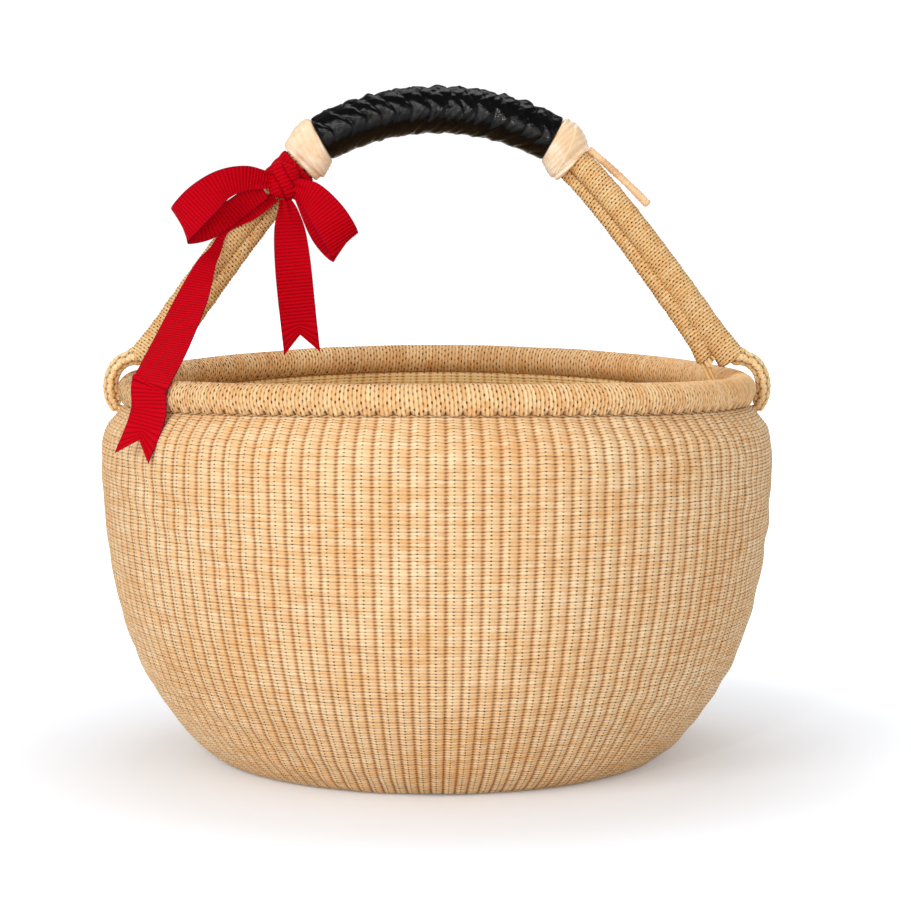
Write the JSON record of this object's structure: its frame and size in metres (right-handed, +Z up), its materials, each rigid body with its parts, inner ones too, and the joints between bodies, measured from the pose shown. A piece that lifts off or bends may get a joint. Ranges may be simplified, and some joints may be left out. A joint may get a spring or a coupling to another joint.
{
  "type": "basket",
  "caption": "Round twined straw market basket with a bellied wall, a straw-bound roll rim, a tilting bundle handle bound in leather, and a red ribbon bow.",
  "frame": {"origin": "middle of the flat underside", "axes": "+Z up, X along the handle's span with the bow at -X, -Y is the front that the bow faces"},
  "size_m": [0.4064, 0.4064, 0.406],
  "materials": {
    "straw": "twined natural straw, dry and matt",
    "rim_straw": "wound and braided natural straw, satin",
    "stems": "bare dry stems, matt",
    "black_leather": "braided black leather, glossy",
    "rawhide": "pale rawhide, satin",
    "red_ribbon": "red grosgrain ribbon"
  },
  "bodies": {
    "basket": {"base_weave": "straw", "wall_weave": "straw", "rim_core": "stems", "rim_wrap": "rim_straw"},
    "handle": {"handle_core": "stems", "left_outer_leg_wrap": "rim_straw", "left_inner_leg_wrap": "rim_straw", "left_foot_braid": "rim_straw", "left_collar": "rawhide", "right_outer_leg_wrap": "rim_straw", "right_inner_leg_wrap": "rim_straw", "right_foot_braid": "rim_straw", "right_collar": "rawhide", "grip_leather": "black_leather", "collar_thong": "rawhide", "ribbon_band": "red_ribbon", "ribbon_knot": "red_ribbon", "ribbon_left_loop": "red_ribbon", "ribbon_right_loop": "red_ribbon", "ribbon_left_tail": "red_ribbon", "ribbon_right_tail": "red_ribbon"}
  },
  "joints": [
    {"name": "handle_tilt", "type": "hinge", "parent": "basket", "child": "handle", "pos_m": [0, 0, 0.2096], "axis": [1, 0, 0], "range_deg": [-25, 25], "deforming": ["ribbon_left_tail"]}
  ]
}
